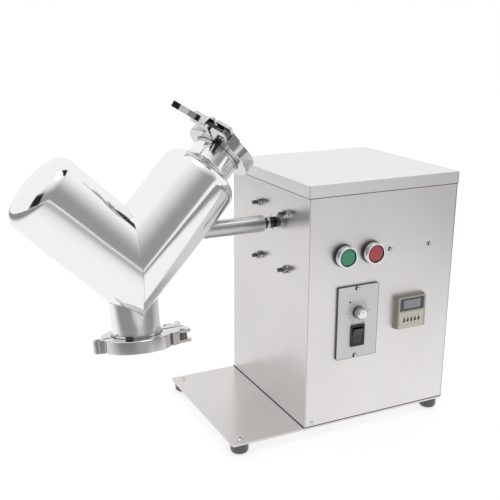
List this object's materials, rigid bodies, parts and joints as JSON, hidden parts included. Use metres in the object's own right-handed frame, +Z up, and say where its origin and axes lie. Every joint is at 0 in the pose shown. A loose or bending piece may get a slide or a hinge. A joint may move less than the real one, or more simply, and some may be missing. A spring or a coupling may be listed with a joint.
{
  "type": "v-blender",
  "caption": "Bench-top V-blender: polished twin-arm vessel with clamped ports on a shaft from a steel drive cabinet with buttons, speed dial and timer.",
  "frame": {"origin": "on the floor at the centre of the four feet", "axes": "+Z up, -Y the control front, +X along the shaft from the vessel to the cabinet"},
  "size_m": [0.5886, 0.266, 0.4591],
  "materials": {
    "brushed_sheet": "brushed",
    "polished_steel": "polished",
    "clamp_steel": "satin",
    "bright_steel": "polished",
    "black_screw": "satin",
    "foot_rubber": "matte",
    "seal_silicone": "matte",
    "cast_aluminium": "cast",
    "motor_steel": "satin",
    "bearing_steel": "polished",
    "black_plastic": "matte",
    "capacitor_plastic": "gloss",
    "zinc_rail": "satin",
    "terminal_plastic": "matte",
    "contact_plastic": "matte",
    "chrome_trim": "polished",
    "knob_plastic": "gloss",
    "green_lens": "satin",
    "red_lens": "satin",
    "plate_aluminium": "satin",
    "timer_plastic": "satin",
    "display_plastic": "gloss",
    "wheel_plastic": "matte"
  },
  "bodies": {
    "cabinet": {"base_plate": "brushed_sheet", "feet": "foot_rubber", "foot_screws": "bright_steel", "cabinet_shell": "brushed_sheet", "front_panel": "brushed_sheet", "gearhead": "cast_aluminium", "motor_body": "motor_steel", "motor_fan_cover": "black_plastic", "shaft_bearing": "bearing_steel", "motor_bolts": "bright_steel", "motor_nuts": "bright_steel", "run_capacitor": "capacitor_plastic", "mount_rail": "zinc_rail", "terminal_block": "terminal_plastic", "rail_screws": "bright_steel", "button_bases": "black_plastic", "button_bezels": "chrome_trim", "button_nuts": "black_plastic", "contact_blocks": "contact_plastic", "speed_panel": "plate_aluminium", "speed_box": "black_plastic", "speed_panel_screws": "bright_steel", "rocker_frame": "black_plastic", "timer_case": "timer_plastic", "timer_window": "display_plastic", "cable_gland": "black_plastic", "gland_nut": "black_plastic"},
    "lid": {"lid": "brushed_sheet"},
    "speed_knob": {"speed_knob": "knob_plastic", "knob_cap": "chrome_trim"},
    "rocker": {"rocker": "knob_plastic"},
    "start_button": {"start_button": "green_lens"},
    "stop_button": {"stop_button": "red_lens"},
    "drum": {"output_shaft": "bright_steel", "drum_sleeve": "polished_steel", "sleeve_screw": "black_screw", "vessel_shell": "polished_steel", "inlet_ferrule": "polished_steel", "outlet_ferrule": "polished_steel", "inlet_gasket": "seal_silicone", "inlet_cap": "polished_steel", "inlet_clamp_fixed": "clamp_steel", "inlet_clamp_pins": "bright_steel", "outlet_gasket": "seal_silicone", "outlet_cap": "polished_steel", "outlet_clamp_fixed": "clamp_steel", "outlet_clamp_pins": "bright_steel"},
    "timer_wheel_1": {"timer_wheel_1": "wheel_plastic"},
    "timer_wheel_2": {"timer_wheel_2": "wheel_plastic"},
    "timer_wheel_3": {"timer_wheel_3": "wheel_plastic"},
    "timer_wheel_4": {"timer_wheel_4": "wheel_plastic"},
    "timer_wheel_5": {"timer_wheel_5": "wheel_plastic"},
    "inlet_half": {"inlet_clamp_half": "clamp_steel"},
    "inlet_bolt": {"inlet_swing_bolt": "bright_steel"},
    "inlet_washer": {"inlet_washer": "bright_steel"},
    "inlet_nut": {"inlet_wing_nut": "clamp_steel"},
    "outlet_half": {"outlet_clamp_half": "clamp_steel"},
    "outlet_bolt": {"outlet_swing_bolt": "bright_steel"},
    "outlet_washer": {"outlet_washer": "bright_steel"},
    "outlet_nut": {"outlet_wing_nut": "clamp_steel"}
  },
  "joints": [
    {"name": "lid_lift", "type": "slide", "parent": "cabinet", "child": "lid", "axis": [0, 0, 1], "range_m": [0, 0.05]},
    {"name": "drum_spin", "type": "hinge", "parent": "cabinet", "child": "drum", "pos_m": [-0.12, -0.016, 0.288], "axis": [1, 0, 0], "continuous": true},
    {"name": "speed_knob_turn", "type": "hinge", "parent": "cabinet", "child": "speed_knob", "pos_m": [0.0145, -0.118, 0.1777], "axis": [0, 1, 0], "range_deg": [0, 300]},
    {"name": "rocker_tilt", "type": "hinge", "parent": "cabinet", "child": "rocker", "pos_m": [0.0145, -0.116, 0.1442], "axis": [-1, 0, 0], "range_deg": [0, 14]},
    {"name": "start_button_press", "type": "slide", "parent": "cabinet", "child": "start_button", "axis": [0, 1, 0], "range_m": [0, 0.004], "stiffness_N_per_m": 300, "springref_m": -0.002},
    {"name": "stop_button_press", "type": "slide", "parent": "cabinet", "child": "stop_button", "axis": [0, 1, 0], "range_m": [0, 0.004], "stiffness_N_per_m": 300, "springref_m": -0.002},
    {"name": "timer_wheel_1_turn", "type": "hinge", "parent": "cabinet", "child": "timer_wheel_1", "pos_m": [0.0878, -0.1137, 0.1552], "axis": [1, 0, 0], "continuous": true},
    {"name": "timer_wheel_2_turn", "type": "hinge", "parent": "cabinet", "child": "timer_wheel_2", "pos_m": [0.0939, -0.1137, 0.1552], "axis": [1, 0, 0], "continuous": true},
    {"name": "timer_wheel_3_turn", "type": "hinge", "parent": "cabinet", "child": "timer_wheel_3", "pos_m": [0.1, -0.1137, 0.1552], "axis": [1, 0, 0], "continuous": true},
    {"name": "timer_wheel_4_turn", "type": "hinge", "parent": "cabinet", "child": "timer_wheel_4", "pos_m": [0.1061, -0.1137, 0.1552], "axis": [1, 0, 0], "continuous": true},
    {"name": "timer_wheel_5_turn", "type": "hinge", "parent": "cabinet", "child": "timer_wheel_5", "pos_m": [0.1122, -0.1137, 0.1552], "axis": [1, 0, 0], "continuous": true},
    {"name": "inlet_half_spread", "type": "hinge", "parent": "drum", "child": "inlet_half", "pos_m": [-0.10739, 0.03619, 0.36146], "axis": [-0.7071, -0.1228, -0.6964], "range_deg": [0, 16]},
    {"name": "inlet_bolt_swing", "type": "hinge", "parent": "drum", "child": "inlet_bolt", "pos_m": [-0.14903, -0.04748, 0.41849], "axis": [0.7071, 0.1228, 0.6964], "range_deg": [0, 100]},
    {"name": "inlet_washer_slide", "type": "slide", "parent": "inlet_bolt", "child": "inlet_washer", "axis": [-0.5255, 0.7502, 0.4013], "range_m": [0, 0.031]},
    {"name": "inlet_nut_spin", "type": "hinge", "parent": "inlet_washer", "child": "inlet_nut", "pos_m": [-0.16322, -0.02722, 0.42933], "axis": [-0.5255, 0.7502, 0.4013], "continuous": true},
    {"name": "outlet_half_spread", "type": "hinge", "parent": "drum", "child": "outlet_half", "pos_m": [-0.324, -0.03884, 0.1585], "axis": [0, 0.1736, 0.9848], "range_deg": [0, 16]},
    {"name": "outlet_bolt_swing", "type": "hinge", "parent": "drum", "child": "outlet_bolt", "pos_m": [-0.216, -0.05656, 0.16162], "axis": [0, -0.1736, -0.9848], "range_deg": [0, 100]},
    {"name": "outlet_washer_slide", "type": "slide", "parent": "outlet_bolt", "child": "outlet_washer", "axis": [0, 0.9848, -0.1736], "range_m": [0, 0.031]},
    {"name": "outlet_nut_spin", "type": "hinge", "parent": "outlet_washer", "child": "outlet_nut", "pos_m": [-0.216, -0.02997, 0.15693], "axis": [0, 0.9848, -0.1736], "continuous": true}
  ],
  "couplings": [
    {"joint": "inlet_washer_slide", "follows": "inlet_half_spread", "m_per_rad": 0.109},
    {"joint": "outlet_washer_slide", "follows": "outlet_half_spread", "m_per_rad": 0.109}
  ]
}
